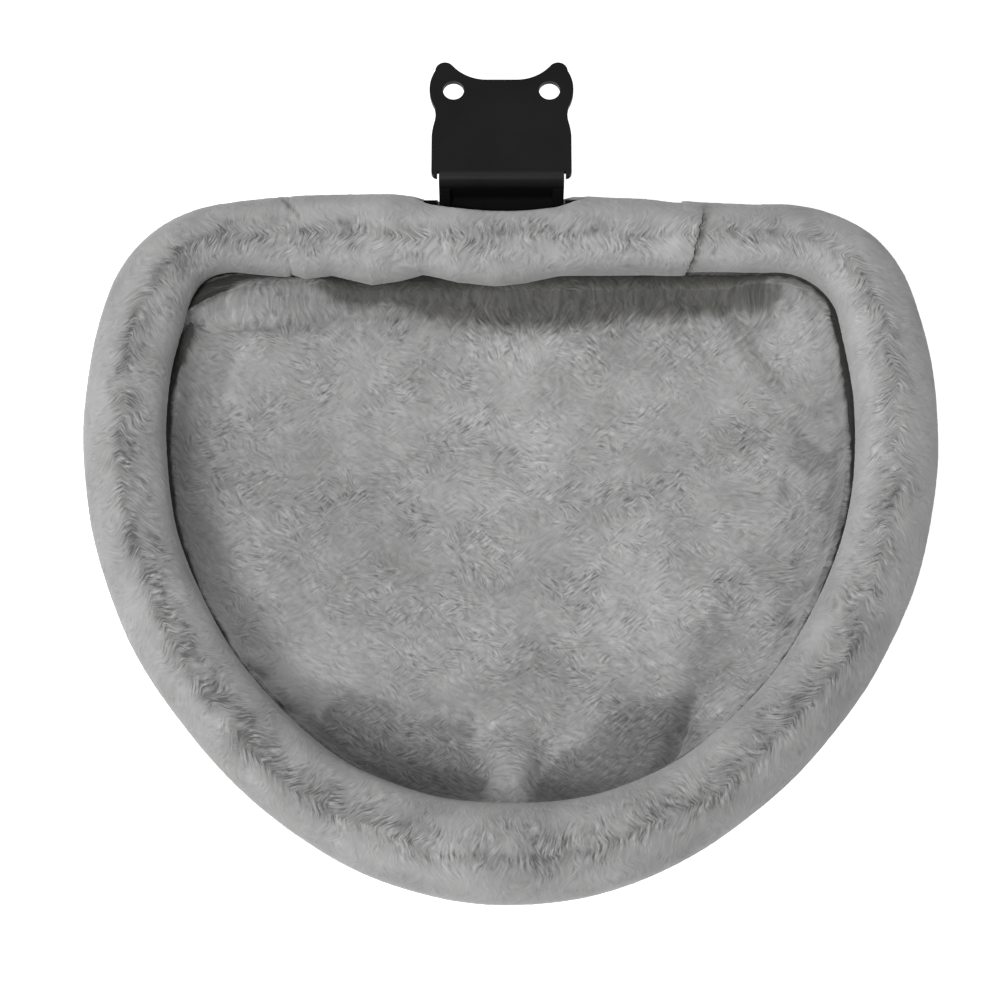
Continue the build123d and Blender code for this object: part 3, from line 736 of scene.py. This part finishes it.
# Width of the painted shade in the gap beside the rim on the right, from the front to the back
rightGapShade = [(-0.215, 0.0), (-0.180, 0.0010), (-0.150, 0.0026), (-0.115, 0.0026), (-0.098, 0.0)]
shadeTable = {
    "back": (1.0, None, [("back", -0.0055, 0.0055), ("y", -0.140, -0.105), ("x", -0.108, -0.085),
                         ("raggedX", 0.142, 0.130)]),
    "left": (1.0, None, [("left", 0.004, -0.005), ("x", -0.096, -0.084), ("leftOfRidge", 0.0, -0.005)]),
    "right": (1.0, None, [("right", 0.005, -0.010), ("x", 0.104, 0.086), ("rightOfRidge", 0.0, 0.006)]),
    "lower": (1.0, None, [("x", 0.03, -0.07), ("lower", -0.30, -0.335)]),
    "line": (0.58, ("crease", -0.0045, 0.0046), [("y", -0.286, -0.306)]),
    "softLine": (0.34, ("crease", -0.006, 0.009), [("y", -0.215, -0.262)]),
    "corner": (0.30, ("corner", 0, 0.0022), [("y", -0.150, -0.138), ("y", -0.088, -0.098)]),
    "outerDimple": (1.1, ("outerDimple", 0, 1), []),
    "innerDimple": (0.95, ("innerDimple", 0, 1), []),
    "gapShadeLeft": (0.0044, None, [("x", -0.126, -0.140), ("y", -0.152, -0.118)]),
    "side": (0.38, None, [("place", 1.7, 0.0), ("x", -0.12, -0.15), ("y", -0.145, -0.175),
                          ("y", -0.285, -0.225)]),
    "front": (0.50, None, [("edge", 1.6, 1.2), ("y", -0.280, -0.300), ("x", -0.015, -0.035)]),
    "patchy": (0.40, None, [("x", 0.126, 0.142), ("y", -0.285, -0.262), ("y", -0.135, -0.150)]),
    "crest": (0.46, ("place", -0.06, 0.13), []),
}


def bedShade(x, y, z, place, s):
    # Where the pile is in deep shade: below the back rim, in the front hollows, along creases and the rim
    ragged = layered(x, y, bed["ragged"])
    fields = bedFields(x, y)
    aside = x - fields["ridgeMiddle"] + 0.4 * ragged
    fields.update({
        "place": place,
        "edge": place + 13.2 * ragged,
        "raggedX": x + 2 * ragged,
        "lower": y - 0.3 * x,
        "back": z - np.interp(x, *zip(*backShade)) + 0.6 * ragged,
        "left": y - np.interp(x, *zip(*leftShade)) + ragged,
        "right": y - np.interp(x, *zip(*rightShade)) + ragged,
        "leftOfRidge": aside + fields["ridgeHalf"],
        "rightOfRidge": aside - fields["ridgeHalf"],
        "crease": fields["past"] + 0.8 * ragged,
        "corner": (x - 0.1145) * 0.83 + (y + 0.088) * 0.56 - 0.3 * ragged,
    })
    shade = shaped(fields, shadeTable)
    # the painted shade in the gaps beside the rim at the back corners and below the rim goes by the distance
    # from its edge
    around = ringPlace(s, bed["inset"])
    hidden = (0.2 + 0.8 * smoothStep(0.158, 0.176, ringLength - around)) * cornerReach(place, s, bed["inset"])
    clear = 0.0029 + pressed(around, math.radians(190)) - hidden - bed["tuckOut"] * tucked(place)
    clear = clear + 0.0045 * np.maximum(place, 0)
    gapWidth = np.maximum(shade["gapShadeLeft"], np.interp(y, *zip(*rightGapShade)) * (x > 0))
    gap = 0.92 * smoothStep(0.0012, -0.0010, clear - 0.0008 - gapWidth + 0.22 * ragged)
    under = (0.78 + 0.10 * smoothStep(0.0080, 0.0, clear)) * shade["back"]
    patches = np.clip(smoothStep(-0.1, 0.5, gradientNoise(x / 0.012, y / 0.02, 77)) + 0.3, 0, 1)
    # painted shade in the hollows beside the ridge
    hollows = (0.40 + 0.36 * shade["lower"]) * shade["left"]
    hollows = hollows + (0.46 + 0.18 * smoothStep(2.9, 1.9, place)) * shade["right"]
    unshaded = 1 - hollows
    for share in (shade["line"] + shade["softLine"], shade["side"], shade["front"], shade["patchy"] * patches,
                  shade["corner"], shade["crest"] * np.clip(cornerSwell(x, y) / 0.005, 0, 1)):
        unshaded = unshaded * (1 - share)
    spots = 0.9 * (shade["outerDimple"] + shade["innerDimple"])
    return np.clip(np.maximum.reduce([np.minimum(1 - unshaded, 0.81), under, gap, spots]), 0, 0.95)


bedLeans = (-38.0, -66.0, -10.0, 38.0)
rimLeans = (90.0, 64.0, 116.0)


def turnedTufts(x, y, lean, seed):
    # Tufts that lie along a direction, given in degrees
    turn = math.radians(lean)
    return tuftRelief(y * math.cos(turn) - x * math.sin(turn), x * math.cos(turn) + y * math.sin(turn), seed)


def bedTufts(x, y):
    # The tufts lie in patches of a few directions, most of them down to the right
    tufts = turnedTufts(x, y, bedLeans[0], 91)
    for number, lean in enumerate(bedLeans[1:]):
        patch = smoothStep(0.0, 0.18, gradientNoise(x / 0.024, y / 0.024, 95 + number))
        tufts = tufts + (turnedTufts(x, y, lean, 92 + number) - tufts) * patch
    return tufts


def tucked(place):
    # 1 at the edge of the plush under the roll, 0 from the seam on
    return np.clip(place / bed["edgeRow"], 0, 1)


def evenPlaces(count):
    # Rows of the table, evenly spaced over the cloth from the seam inward
    place = np.linspace(0, len(bedTable["size"]) - 1, 600)
    side = lengthRound(bed["inset"]) * 0.29
    points = bedBase(np.full(600, side), place, 0.0)
    length = np.concatenate([[0], np.cumsum(np.linalg.norm(np.diff(points, axis=0), axis=1))])
    return np.interp(np.linspace(0, length[-1], count), length, place)[:-1]


def ringFaces(counts, first=0):
    # Faces between rings; a ring may have half the points of the one before
    quads, joins = [], []
    for before, after in zip(counts[:-1], counts[1:]):
        second = first + before
        j = np.arange(after)
        k = (j + 1) % after
        if before == after:
            quads.append(np.stack([first + j, second + j, second + k, first + k], axis=1))
        else:
            a, b, c = first + 2 * j, first + 2 * j + 1, first + (2 * j + 2) % before
            joins.append(np.stack([a, second + j, second + k, c, b], axis=1))
        first = second
    last = counts[-1]
    return [np.concatenate(quads)] + joins + [np.arange(first, first + last)[None, ::-1]]


def bedSurface(counts, places, outward, tuck):
    # Points, normals and places of a layer of the pouch, ring by ring from its seam
    place = places[np.repeat(np.arange(len(counts)), counts)]
    inset = bed["inset"] - outward
    s = np.concatenate([np.arange(count) / count for count in counts]) * lengthRound(inset)
    small = 0.0004
    down = bedBase(s, place + 0.004, outward) - bedBase(s, place - 0.004, outward)
    aside = bedBase(s + small, place, outward) - bedBase(s - small, place, outward)
    normal = np.cross(down, aside)
    normal = normal / np.maximum(np.linalg.norm(normal, axis=1, keepdims=True), 1e-12)
    normal[place > 5.9] = (0, 0, 1)
    points = bedBase(s, place, outward)
    if tuck:
        # above the seam the plush turns out to the roll's underside, and further out in the squeezed corner
        share = tucked(place)[:, None]
        level = bedBase(s, np.zeros_like(s), outward)
        out = bedBase(s, np.zeros_like(s), outward + bed["tuckOut"]) - level
        points = np.where(place[:, None] < 0, level + out * share + share * (0, 0, bed["tuckUp"]), points)
        points = points + out * (cornerReach(place, s, inset) / bed["tuckOut"])[:, None]
    return points, normal, place, s


# Painted light and shade on the bed's pile: place, half width and height of each patch, and its strength
paintedLightPatches = [((-0.100, -0.285), (0.030, 0.026), 0.80), ((-0.128, -0.245), (0.018, 0.030), 0.45),
              ((-0.118, -0.112), (0.040, 0.026), 0.42), ((0.118, -0.285), (0.020, 0.035), -0.28),
              ((-0.070, -0.190), (0.030, 0.040), -0.08), ((0.010, -0.250), (0.060, 0.040), 0.05)]


def bedTop(points, normal, place, s):
    # Folds and tufts of the plush, and what its finish needs: tone, painted shade and calm
    x, y = points[:, 0], points[:, 1]
    tufts = bedTufts(x, y)
    rise = bedFolds(x, y) * smoothStep(0.15, 1.5, place) + bed["tuft"] * (tufts - 0.4)
    swell = cornerSwell(x, y) * np.interp(place, *zip(*swellProfile))
    calm = np.clip(0.40 + 0.9 * gradientNoise(x / 0.028, y / 0.028, 84), 0, 0.9)
    shade = bedShade(x, y, points[:, 2], place, s)
    # tone: painted shade between the tufts, and painted light and shade in patches
    tone = sum(strength * bump(x, middle[0], reach[0]) * bump(y, middle[1], reach[1])
               for middle, reach, strength in paintedLightPatches)
    points = points + normal * rise[:, None] + swell[:, None] * (0, 0, 1.0)
    return points, np.stack([x, y], axis=1), tufts * 0.7 - 0.12 + tone, shade, calm


def liningGathers(points, normal, place, s):
    # The lining is gathered into its seam and smooth below
    fade = smoothStep(3.4, 0.2, place)
    sway = 0.006 * gradientNoise(s / 0.05, place * 1.5, 103)
    waves = gradientNoise((s + sway) / 0.013, place * 0.35, 101)
    rise = 0.0016 * fade * waves + 0.0012 * gradientNoise(s / 0.05, place * 0.9, 102)
    nap = np.stack([s, place * 0.05], axis=1)
    return points + normal * rise[:, None], nap, 0.4 + 0.3 * waves * fade, 0 * place, 0 * place


def plainLayer(points, normal, place, s):
    return points, np.stack([s, place * 0.04], axis=1), 0 * place, 0 * place, 0 * place


def makeLayer(name, inner, outer, tuck=False):
    # A closed layer of the pouch from its upper and lower surface: (distance out, ring sizes, rows, shape)
    points, naps, fields, faces, total = [], [], [], [], 0
    for outward, counts, places, shape in (inner, outer):
        moved, nap, *values = shape(*bedSurface(counts, places, outward, tuck))
        points.append(moved)
        naps.append(nap)
        fields.append(values)
        sets = ringFaces(counts, total)
        faces += sets if total == 0 else [f[:, ::-1] for f in sets]
        total += len(moved)
    j = np.arange(inner[1][0])
    k = (j + 1) % inner[1][0]
    lower = len(points[0])
    faces.append(np.stack([j, k, lower + k, lower + j], axis=1))
    values = {label: np.concatenate(parts) for label, parts in zip(("relief", "depth", "calm"), zip(*fields))}
    return makePiece(name, np.concatenate(points), faces, np.concatenate(naps), values)


def ringCounts(around, rows, halvings=()):
    counts = np.full(rows, around)
    for row in halvings:
        counts[row:] //= 2
    return [int(c) for c in counts]


def flatCut(piece):
    # Half the area of a thin closed layer
    mesh = piece.data
    areas = np.zeros(len(mesh.polygons), dtype=np.float32)
    mesh.polygons.foreach_get("area", areas)
    return float(areas.sum()) / 2


def makeBed(plushMaterial, waddingMaterial, liningMaterial):
    tuckRows = np.linspace(bed["edgeRow"], 0, 10)[:-1]
    fine = np.concatenate([tuckRows, evenPlaces(bed["steps"])])
    coarse = np.concatenate([tuckRows[:1], evenPlaces(18)])
    topCounts = ringCounts(bed["around"], len(fine), (77, 121))
    underCounts = ringCounts(bed["around"], len(coarse), (5, 11))
    top = makeLayer("bed_plush", (0.0, topCounts, fine, bedTop),
                    (bed["plush"], underCounts, coarse, plainLayer), True)
    dress(top, plushMaterial, "plush", "bed_top")
    print("stage: bed plush", len(top.data.polygons), "area", round(flatCut(top), 4))
    middle = evenPlaces(40)
    counts = ringCounts(360, len(middle), (16, 28))
    wadding = makeLayer("bed_wadding_pad", *[(out, counts, middle, plainLayer) for out in bed["wadding"]])
    dress(wadding, waddingMaterial, "wadding", "bed_wadding")
    below = evenPlaces(90)
    belowCounts = ringCounts(720, len(below), (34, 60))
    aboveCounts = ringCounts(720, len(middle), (12, 24))
    upper, lower = bed["lining"]
    lining = makeLayer("bed_lining_cloth", (upper, aboveCounts, middle, plainLayer),
                       (lower, belowCounts, below, liningGathers))
    dress(lining, liningMaterial, "lining", "bed_lining")
    print("stage: lining", len(lining.data.polygons), "area", round(flatCut(lining), 4))


# Seam binding, the tab below the flap and its tapes

binding = {"inset": 0.0148, "thick": 0.0020, "high": 0.0120, "top": -0.0443, "corner": 0.0008, "around": 640,
           "wave": (0.0005, 0.016), "sag": (0.0008, 0.03)}
strip = {"cells": 120, "cornerShare": 0.42, "endRound": 0.0008, "thinnest": math.sqrt(0.02), "bend": 0.03,
         "tabThick": 0.0020, "tabGap": 0.0002, "tabTop": 0.003, "wobble": 0.0002}


def roundedSection(width, height, corner, steps=4):
    # Points round a rectangle with round corners
    points = []
    for quarter, (sx, sy) in enumerate(((1, 1), (-1, 1), (-1, -1), (1, -1))):
        for step in range(steps):
            angle = (quarter + step / (steps - 1)) * math.pi / 2
            points.append((sx * (width / 2 - corner) + corner * math.cos(angle),
                           sy * (height / 2 - corner) + corner * math.sin(angle)))
    return np.array(points)


def makeBinding(material):
    section = roundedSection(binding["thick"], binding["high"], binding["corner"])
    inset = binding["inset"] - binding["thick"] / 2
    total = lengthRound(inset)
    s = np.arange(binding["around"]) * total / binding["around"]
    x, y, outX, outY = ringPath(s, inset)
    wave = binding["wave"][0] * drift(s, binding["wave"][1], 121)
    sag = binding["sag"][0] * drift(s, binding["sag"][1], 122)
    middle = np.stack([ring["middleX"] + x, ring["backY"] + bed["shift"] - inset + y,
                       np.full_like(x, binding["top"] - binding["high"] / 2)], axis=1)
    away = np.stack([outX, outY, 0 * outX], axis=1)
    points = middle[:, None, :] + away[:, None, :] * (section[None, :, 0, None] + wave[:, None, None])
    points[:, :, 2] += section[None, :, 1] + sag[:, None]
    quads = gridQuads(binding["around"], len(section), True, True)[:, ::-1]
    nap = np.stack([np.repeat(s, len(section)), np.tile(section[:, 1], len(s))], axis=1)
    piece = makePiece("seam_binding_tape", points, [quads], nap)
    dress(piece, material, "binding", "seam_binding")


def makeStrip(name, low, high, material, slotName, replaced, wobble, seed, restsOn):
    # A flat strip of tape or cloth that stands on edge, with soft corners
    low, high = np.array(low), np.array(high)
    size = high - low
    section = roundedSection(size[1], size[2], min(size[1], size[2]) * strip["cornerShare"], 5)
    count = strip["cells"]
    x = low[0] + size[0] * np.linspace(0, 1, count)
    middle = (low + high) / 2
    bend = wobble * drift(x, strip["bend"], seed)
    ends = 1 - rounded(np.minimum(x - low[0], high[0] - x) / strip["endRound"])
    ends = np.maximum(ends, strip["thinnest"])
    points = np.zeros((count, len(section), 3))
    points[:, :, 0] = x[:, None]
    points[:, :, 1] = middle[1] + bend[:, None] + section[None, :, 0] * ends[:, None]
    points[:, :, 2] = middle[2] + section[None, :, 1] * (0.97 + 0.03 * ends[:, None])
    quads = gridQuads(count, len(section), closeColumns=True)
    last = (count - 1) * len(section)
    faces = [quads, np.arange(len(section))[None, ::-1], (last + np.arange(len(section)))[None, :]]
    nap = np.stack([np.repeat(x, len(section)), np.tile(section[:, 1], count)], axis=1)
    piece = makePiece(name, points, faces, nap)
    dress(piece, material, slotName, replaced)


def makeTapes(tapeMaterial, clothMaterial):
    for node, name in (("hook_tape", "hook_strip"), ("loop_tape", "loop_strip")):
        makeStrip(name, *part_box(node), tapeMaterial, "tape", node, 0.0, 131, "flap_tab")
    low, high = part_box("hook_tape")
    near = high[1] + strip["tabGap"]
    tabLow = (low[0], near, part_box("back_flap")[0][2])
    tabHigh = (high[0], near + strip["tabThick"], ring["level"] - ring["rollRadius"] + strip["tabTop"])
    makeStrip("flap_tab", tabLow, tabHigh, clothMaterial, "plush", "back_flap", strip["wobble"], 132,
              "back_flap_plush")


# Foam tubes under the plush

foamShape = {"radius": 0.0150, "frontFullness": 0.0035, "fullReach": 0.1015, "bore": 0.0004, "slack": 0.0001,
             "backReach": 0.1193, "row": 0.006, "fewest": 12, "around": 36}


def makeFoams(material):
    for node in ("foam_back_left", "foam_back_right", "foam_left", "foam_right", "foam_front"):
        low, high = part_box(node)
        if node.startswith("foam_back"):
            start, end = low[0] - ring["middleX"], high[0] - ring["middleX"]
        else:
            back = foamShape["backReach"]
            side = ring["backHalf"] + sum(length for length, _ in ringRuns(0.0)[1:3])
            start, end = {"foam_right": (back, side), "foam_front": (side, ringLength - side),
                          "foam_left": (ringLength - side, ringLength - back)}[node]
        rows, around = max(foamShape["fewest"], int((end - start) / foamShape["row"])), foamShape["around"]
        s, a = np.meshgrid(
            np.linspace(start, end, rows), np.linspace(0, 2 * math.pi, around, endpoint=False), indexing="ij")
        full = (node == "foam_front") * foamShape["frontFullness"] * frontSwell(s, foamShape["fullReach"])
        outside = rollPoint(s, a, foamShape["radius"] + full - foamShape["slack"] - squeezed(s, a))
        inside = rollPoint(s, a, ring["tubeRadius"] + foamShape["bore"])[::-1]
        points = np.concatenate([outside.reshape(-1, 3), inside.reshape(-1, 3)])
        quads = gridQuads(2 * rows, around, True, True)[:, ::-1]
        piece = makePiece(node + "_tube", points, [quads])
        dress(piece, material, "foam", node)


# Finishes of the metal, the foam and the cloth

# Painted shade on the bracket: between the top and lower heights the coat is painted near black in the
# shade's tone, and is rougher
foot = {"top": (-0.0045, 0.0005), "lower": (-0.019, -0.0215), "tone": 0.0012, "roughness": 0.85}


def metalFinish(name, base, roughness, metallic, level, grain, spread, paintedFootShade=False):
    finish = Finish(name)
    place = finish.place()
    fine = finish.noise(place, grain, 3.0, 0.6)
    cloud = finish.noise(place, 30.0, 3.0, 0.5)
    tone = finish.greys(cloud * 0.6 + fine * 0.4, base, (0.3, 1 - spread), (0.7, 1 + spread))
    # painted shade on the riser of the bracket's foot, by height
    if paintedFootShade:
        height = finish.axis(finish.node("ShaderNodeNewGeometry", {}, {}, "Position"), "Z")
        lit = finish.between(height, *foot["top"]) + finish.between(height, *foot["lower"])
        tone = finish.mix(lit, grey(foot["tone"]), tone)
        roughness = finish.between(lit, 0.0, 1.0, foot["roughness"], roughness)
    sockets = {
        "Base Color": tone,
        "Roughness": roughness + (cloud - 0.5) * 0.12 + (fine - 0.5) * 0.08,
        "Metallic": metallic,
        "Specular IOR Level": level,
    }
    return finish.surface(sockets, fine, 0.00008, 0.5)


def clothFinish(name, base, threads):
    # Plain woven cloth, with its threads along the nap's two directions
    finish = Finish(name)
    nap = finish.nap()
    weave = [finish.node("ShaderNodeTexWave", {"bands_direction": direction, "wave_profile": "SIN"},
                         {"Vector": nap, "Scale": threads, "Distortion": 0.6, "Detail": 1.0}, "Fac")
             for direction in ("X", "Y")]
    cloud = finish.noise(finish.place(), 45.0, 3.0)
    height = weave[0] * 0.5 + weave[1] * 0.5
    tone = finish.greys(height * 0.5 + cloud * 0.5, base, (0.2, 0.6), (0.8, 1.25))
    sockets = {"Base Color": tone, "Roughness": 0.82, "Specular IOR Level": 0.25, "Sheen Weight": 0.15}
    return finish.surface(sockets, height, 0.0002, 0.7)


def fuzzyFinish(name, base, cells):
    # Foam or felt: a fine irregular grain
    finish = Finish(name)
    place = finish.place()
    grain = finish.node("ShaderNodeTexVoronoi", {}, {"Vector": place, "Scale": cells}, "Distance")
    height = grain * 0.6 + finish.noise(place, cells * 0.4, 3.0) * 0.4
    tone = finish.greys(height, base, (0.2, 0.55), (0.7, 1.2))
    return finish.surface({"Base Color": tone, "Roughness": 0.95}, height, 0.0004, 0.6)


# Base tone, roughness, metallic, specular level, grain and spread of each metal, whether its foot gets
# painted shade, and the nodes made of it
metals = {
    "black_coat": ((0.0098, 0.40, 0.0, 0.12, 2600.0, 0.25, True),
                   ("mounting_plate", "gusset_left", "gusset_right")),
    "zinc_plate": ((0.55, 0.32, 1.0, 0.5, 900.0, 0.15), ("rail_nuts", "joint_screws")),
    "tube_steel": ((0.42, 0.38, 1.0, 0.5, 1400.0, 0.2),
                   ("back_rail", "front_hoop", "joint_spigot_left", "joint_spigot_right")),
    "black_screw": ((0.016, 0.30, 0.4, 0.4, 3000.0, 0.2), ("rail_screws",)),
}


# Studio: a pale floor, soft light and the photograph's viewing angle

studio = {
    "floorLevel": -0.60, "floorHalf": 6.0, "floorTone": 0.90, "floorGlow": 0.70, "sky": 0.24,
    "lampTarget": (0.0, -0.2, 0.0),
    # place, size and power of each lamp
    "lamps": [((0.0, 0.0, 1.9), 1.2, 9.8), ((-0.60, -1.15, 1.65), 0.36, 24.0),
              ((-1.70, -0.30, 0.95), 0.90, 7.5)],
    "lookAt": (-0.0005, -0.220, 0.0), "elevation": 68.0, "away": 1.5, "focalPixels": 3160.0,
    "imageWidth": 1001,
}


def aimed(name, data, spot, target):
    # A lamp or camera at a spot, pointed at its target
    thing = bpy.data.objects.new(name, data)
    bpy.context.scene.collection.objects.link(thing)
    thing.location = spot
    thing.rotation_euler = (Vector(target) - thing.location).to_track_quat("-Z", "Y").to_euler()
    return thing


def makeStudio():
    finish = Finish("pale_floor")
    cloud = finish.noise(finish.place(), 3.0, 2.0)
    tone = finish.greys(cloud, studio["floorTone"], (0.0, 0.98), (1.0, 1.0))
    material = finish.surface({"Base Color": tone, "Roughness": 0.9, "Emission Color": grey(1.0),
                               "Emission Strength": studio["floorGlow"]})
    half = studio["floorHalf"]
    corners = [(-half, -half, 0), (half, -half, 0), (half, half, 0), (-half, half, 0)]
    floor = makePiece("floor", corners, [np.array([[0, 1, 2, 3]])])
    floor.location = (0, 0, studio["floorLevel"])
    floor.data.materials.append(material)
    scene = bpy.context.scene
    scene.world = bpy.data.worlds.new("studio")
    scene.world.use_nodes = True
    sky = scene.world.node_tree.nodes["Background"]
    sky.inputs["Color"].default_value = grey(1.0)
    sky.inputs["Strength"].default_value = studio["sky"]
    for number, (spot, size, power) in enumerate(studio["lamps"]):
        light = bpy.data.lights.new(f"softbox_{number}", "AREA")
        light.shape = "DISK"
        light.size = size
        light.energy = power
        aimed(light.name, light, spot, studio["lampTarget"])
    rise = math.radians(studio["elevation"])
    target = Vector(studio["lookAt"])
    spot = target + studio["away"] * Vector((0, -math.cos(rise), math.sin(rise)))
    camera = aimed("camera", bpy.data.cameras.new("camera"), spot, target)
    camera.data.sensor_width = 36.0
    camera.data.lens = camera.data.sensor_width * studio["focalPixels"] / studio["imageWidth"]
    scene.camera = camera
    scene.view_settings.view_transform = "Standard"


rimPlush = plushFinish("grey_plush", plushLook, rimLeans, 0.80, 0.02)
bedPlush = plushFinish("grey_bed_plush", plushLook, bedLeans, 0.62, 0.0)
for metal, (numbers, wearers) in metals.items():
    coat = metalFinish(metal, *numbers)
    for wearer in wearers:
        for spot in nodes[wearer].material_slots:
            spot.material = coat
foam = fuzzyFinish("grey_foam", 0.10, 700.0)
wadding = fuzzyFinish("white_wadding", 0.75, 260.0)
tape = clothFinish("black_tape", 0.028, 900.0)
bindingCloth = clothFinish("grey_binding", 0.10, 700.0)
liningCloth = clothFinish("grey_lining", 0.19, 520.0)
print("stage: finishes")
rimPiece = makeRim(rimPlush)
print("stage: rim", len(rimPiece.data.polygons))
flapPiece = makeFlap(rimPlush)
print("stage: flap", len(flapPiece.data.polygons))
makeBed(bedPlush, wadding, liningCloth)
makeBinding(bindingCloth)
makeTapes(tape, liningCloth)
makeFoams(foam)
makeStudio()
print("stage: studio")
